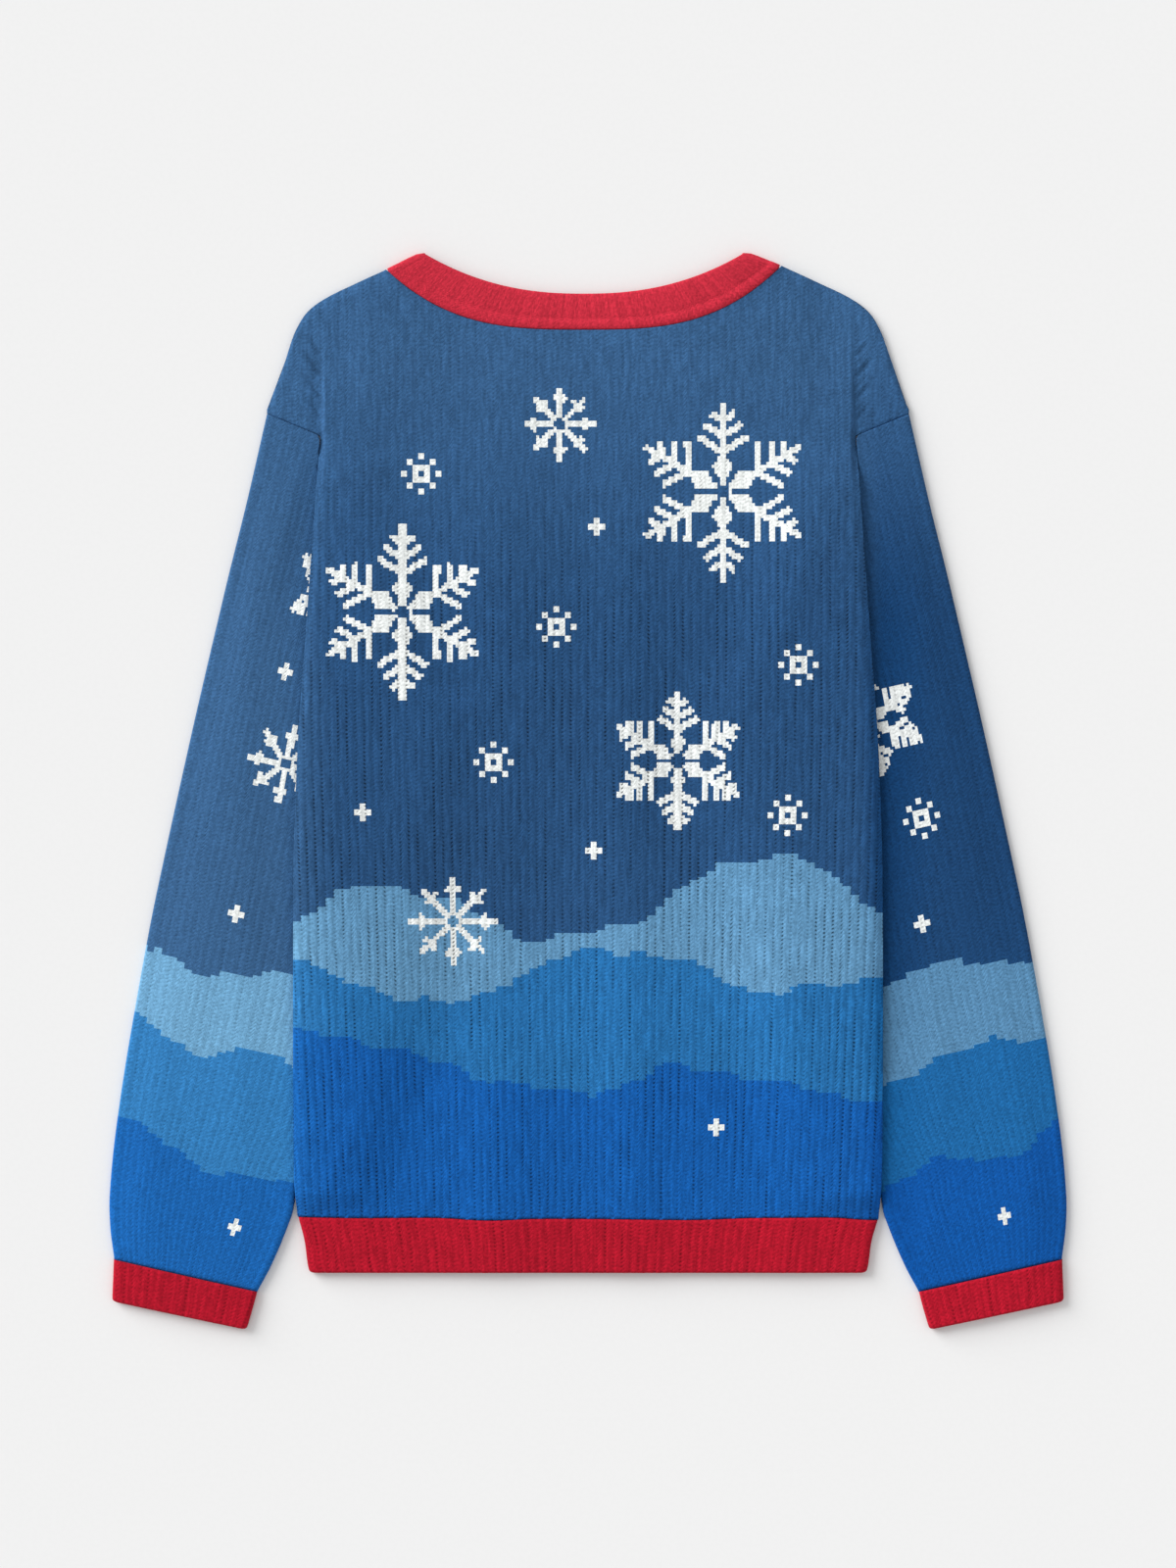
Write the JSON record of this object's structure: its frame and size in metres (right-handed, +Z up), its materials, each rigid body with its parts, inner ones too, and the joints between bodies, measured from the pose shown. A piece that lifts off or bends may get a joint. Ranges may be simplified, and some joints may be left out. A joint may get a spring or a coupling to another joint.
{
  "type": "christmas sweater",
  "caption": "Long-sleeved ribbed-knit Christmas sweater laid flat, back upwards, with sleeves drawn down beside the body and red rib neckband, cuffs and hem.",
  "frame": {"origin": "on the surface that the sweater lies on, in the middle of what it covers", "axes": "+Y from hem to neck, +X across the body towards the sleeve on the right as seen from above, +Z up out of the surface"},
  "size_m": [0.6814, 0.7677, 0.0128],
  "materials": {
    "blue_knit": "matt ribbed knit in blues with white snowflakes",
    "red_rib": "matt red rib knit"
  },
  "bodies": {
    "root": {"front": "blue_knit", "back": "blue_knit", "sleeve_left": "blue_knit", "sleeve_right": "blue_knit", "cuff_left": "red_rib", "cuff_right": "red_rib", "hem_band": "red_rib", "neckband": "red_rib"}
  },
  "joints": []
}
